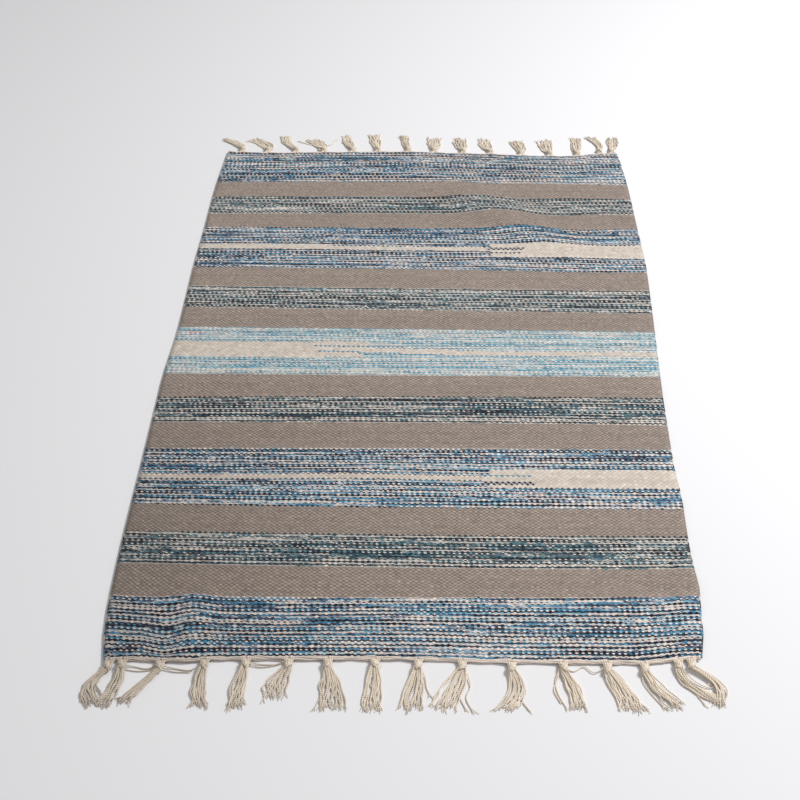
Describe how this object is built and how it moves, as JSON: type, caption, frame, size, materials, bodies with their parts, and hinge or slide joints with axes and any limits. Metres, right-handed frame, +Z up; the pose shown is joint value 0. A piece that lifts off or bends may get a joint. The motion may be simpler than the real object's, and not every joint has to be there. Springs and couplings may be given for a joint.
{
  "type": "kilim rug",
  "caption": "Flat-woven cotton kilim lying on the floor, with plain and marled bands across it, corded headings and knotted yarn tassels at both short ends.",
  "frame": {"origin": "on the floor under the middle of the rug's outline, tassels included", "axes": "+X across the rug to the right, +Y along the rug to its far end, +Z up"},
  "size_m": [0.6155, 1.0162, 0.0086],
  "materials": {
    "woven_cotton": "weft-faced cotton weave in taupe, cream and marled blue, teal and light blue bands",
    "ecru_yarn": "natural ecru cotton yarn, plied and matt"
  },
  "bodies": {
    "root": {"woven_field": "woven_cotton", "heading_near": "ecru_yarn", "heading_far": "ecru_yarn", "tassel_near_01": "ecru_yarn", "tassel_near_02": "ecru_yarn", "tassel_near_03": "ecru_yarn", "tassel_near_04": "ecru_yarn", "tassel_near_05": "ecru_yarn", "tassel_near_06": "ecru_yarn", "tassel_near_07": "ecru_yarn", "tassel_near_08": "ecru_yarn", "tassel_near_09": "ecru_yarn", "tassel_near_10": "ecru_yarn", "tassel_near_11": "ecru_yarn", "tassel_near_12": "ecru_yarn", "tassel_near_13": "ecru_yarn", "tassel_near_14": "ecru_yarn", "tassel_near_15": "ecru_yarn", "tassel_near_16": "ecru_yarn", "tassel_far_01": "ecru_yarn", "tassel_far_02": "ecru_yarn", "tassel_far_03": "ecru_yarn", "tassel_far_04": "ecru_yarn", "tassel_far_05": "ecru_yarn", "tassel_far_06": "ecru_yarn", "tassel_far_07": "ecru_yarn", "tassel_far_08": "ecru_yarn", "tassel_far_09": "ecru_yarn", "tassel_far_10": "ecru_yarn", "tassel_far_11": "ecru_yarn", "tassel_far_12": "ecru_yarn", "tassel_far_13": "ecru_yarn", "tassel_far_14": "ecru_yarn", "tassel_far_15": "ecru_yarn"}
  },
  "joints": []
}
